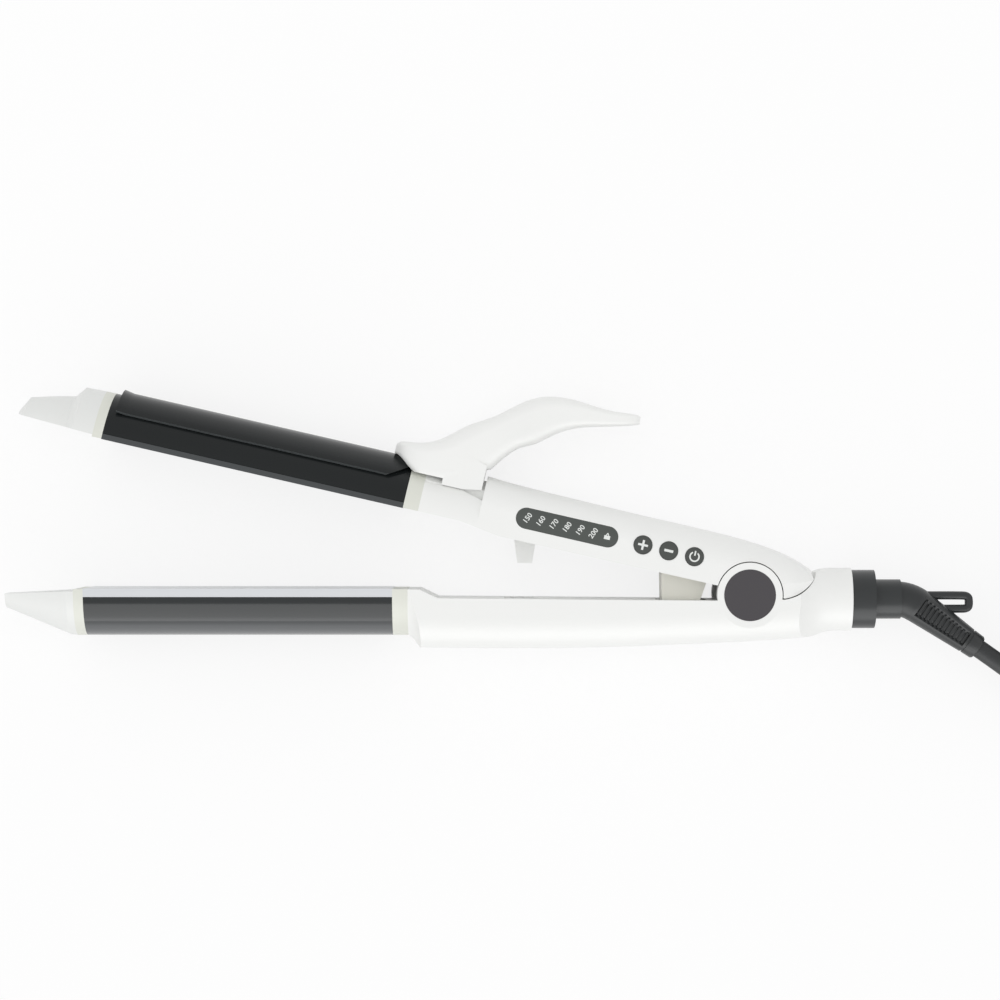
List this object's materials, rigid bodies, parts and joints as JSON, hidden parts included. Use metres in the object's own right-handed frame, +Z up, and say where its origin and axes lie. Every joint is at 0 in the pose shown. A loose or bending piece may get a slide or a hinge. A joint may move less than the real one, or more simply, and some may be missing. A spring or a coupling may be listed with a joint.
{
  "type": "two-in-one hair styler",
  "caption": "Hinged hair styler with flat plates inside two half-round barrels, a sprung curling clip with a thumb lever, controls and a swivel cord.",
  "frame": {"origin": "on the hinge axis, at the surface the styler lies on", "axes": "+Z up along the hinge axis, +X from the barrels to the cord, +Y from the lower arm to the upper arm"},
  "size_m": [0.4946, 0.1264, 0.0332],
  "materials": {
    "shell_white": "satin",
    "tip_white": "satin",
    "collar_beige": "satin",
    "barrel_black": "gloss",
    "plate_light": "satin",
    "plate_dark": "satin",
    "heater_ceramic": "gloss",
    "spreader_aluminium": "satin",
    "steel": "satin",
    "disc_dark": "gloss",
    "window_dark": "gloss",
    "button_dark": "satin",
    "board_green": "satin",
    "lamp_body": "satin",
    "part_black": "satin",
    "contact_brass": "satin",
    "lead_red": "matte",
    "shroud_beige": "satin",
    "cord_dark": "matte",
    "swivel_dark": "satin"
  },
  "bodies": {
    "lower_arm": {"lower_near_shell": "shell_white", "lower_far_shell": "shell_white", "lower_barrel_shell": "barrel_black", "lower_plate": "plate_light", "lower_heater": "heater_ceramic", "lower_heat_spreader": "spreader_aluminium", "lower_heat_collar": "collar_beige", "lower_tip_ring": "collar_beige", "lower_cool_tip": "tip_white", "lower_leads": "lead_red", "mains_leads": "lead_red", "lower_handle_screws": "steel", "hinge_disc_near": "disc_dark", "hinge_disc_far": "disc_dark", "hinge_pin": "steel", "hinge_pin_ring": "steel", "swivel_brushes": "contact_brass", "cord_lead": "cord_dark", "cord_coil": "cord_dark", "cord_tail": "cord_dark", "plug_body": "swivel_dark", "plug_blades": "contact_brass"},
    "upper_arm": {"upper_near_shell": "shell_white", "upper_far_shell": "shell_white", "upper_barrel_shell": "barrel_black", "upper_plate": "plate_dark", "upper_heater": "heater_ceramic", "upper_heat_spreader": "spreader_aluminium", "upper_heat_collar": "collar_beige", "upper_tip_ring": "collar_beige", "upper_cool_tip": "tip_white", "upper_leads": "lead_red", "thermal_fuse": "steel", "upper_handle_screws": "steel", "display_window": "window_dark", "control_board": "board_green", "board_screws": "steel", "led_module": "lamp_body", "button_switches": "part_black", "board_parts": "part_black", "wire_shroud": "shroud_beige", "closing_peg": "shell_white", "hinge_spring": "steel", "hinge_leads": "lead_red", "clip_spring": "steel"},
    "clip": {"clip_blade": "barrel_black", "thumb_lever": "shell_white", "clip_rivets": "steel", "clip_pin": "steel"},
    "plus_key": {"plus_button": "button_dark"},
    "minus_key": {"minus_button": "button_dark"},
    "power_key": {"power_button": "button_dark"},
    "cord_swivel": {"swivel_stem": "swivel_dark", "slip_rings": "contact_brass", "strain_relief": "cord_dark"}
  },
  "joints": [
    {"name": "main_hinge", "type": "hinge", "parent": "lower_arm", "child": "upper_arm", "pos_m": [0, 0, 0.0165], "axis": [0, 0, 1], "range_deg": [0, 12.9], "stiffness_Nm_per_rad": 0.6, "springref_deg": -34.38, "deforming": ["hinge_spring", "hinge_leads"]},
    {"name": "clip_lever", "type": "hinge", "parent": "upper_arm", "child": "clip", "pos_m": [-0.09423, 0.03738, 0.0165], "axis": [0, 0, -1], "range_deg": [0, 15], "stiffness_Nm_per_rad": 0.5, "springref_deg": -34.38, "deforming": ["clip_spring"]},
    {"name": "plus_press", "type": "slide", "parent": "upper_arm", "child": "plus_key", "axis": [0, 0, -1], "range_m": [0, 0.0004], "stiffness_N_per_m": 800, "springref_m": -0.0006},
    {"name": "minus_press", "type": "slide", "parent": "upper_arm", "child": "minus_key", "axis": [0, 0, -1], "range_m": [0, 0.0004], "stiffness_N_per_m": 800, "springref_m": -0.0006},
    {"name": "power_press", "type": "slide", "parent": "upper_arm", "child": "power_key", "axis": [0, 0, -1], "range_m": [0, 0.0004], "stiffness_N_per_m": 800, "springref_m": -0.0006},
    {"name": "cord_swivel_turn", "type": "hinge", "parent": "lower_arm", "child": "cord_swivel", "pos_m": [0.03, -0.0017, 0.0165], "axis": [1, 0, 0], "continuous": true, "deforming": ["cord_lead"]}
  ]
}
